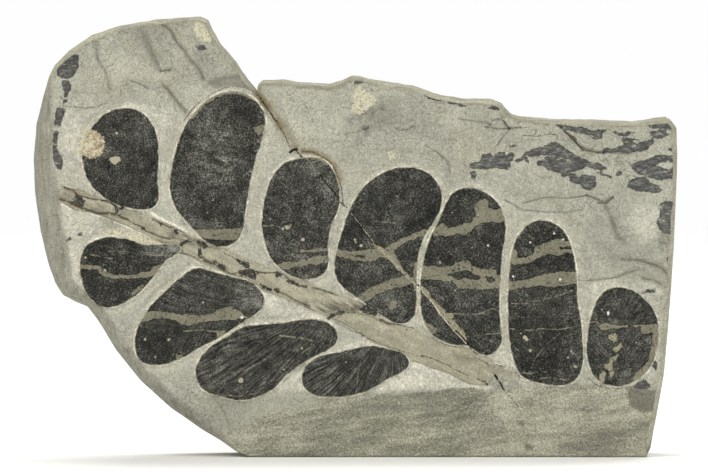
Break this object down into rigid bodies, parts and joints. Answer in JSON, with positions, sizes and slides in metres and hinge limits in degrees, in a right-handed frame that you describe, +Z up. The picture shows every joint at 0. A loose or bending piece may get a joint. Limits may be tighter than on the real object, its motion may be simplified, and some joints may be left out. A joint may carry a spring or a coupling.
{
  "type": "fossil neuropteris fern plate",
  "caption": "Flat slab of grey shale standing on a sawn foot, with the black leaflets and tan stem of a seed fern pressed into its face.",
  "frame": {"origin": "middle of the slab's bounding box, on the flat sawn foot that it stands on", "axes": "+X to the right along the face, +Y from the fossil face to the flat back, +Z up"},
  "size_m": [0.1288, 0.022, 0.0881],
  "materials": {
    "shale": "matt, fine-grained split rock with sawn foot",
    "coal_film": "satin black coal film with fine veins",
    "stem_impression": "matt tan clayey rock"
  },
  "bodies": {
    "root": {"shale_slab": "shale", "pinnule_upper_1": "coal_film", "pinnule_upper_2": "coal_film", "pinnule_upper_3": "coal_film", "pinnule_upper_4": "coal_film", "pinnule_upper_5": "coal_film", "pinnule_upper_6": "coal_film", "pinnule_upper_7": "coal_film", "pinnule_lower_1": "coal_film", "pinnule_lower_2": "coal_film", "pinnule_lower_3": "coal_film", "pinnule_lower_4": "coal_film", "rachis": "stem_impression"}
  },
  "joints": []
}
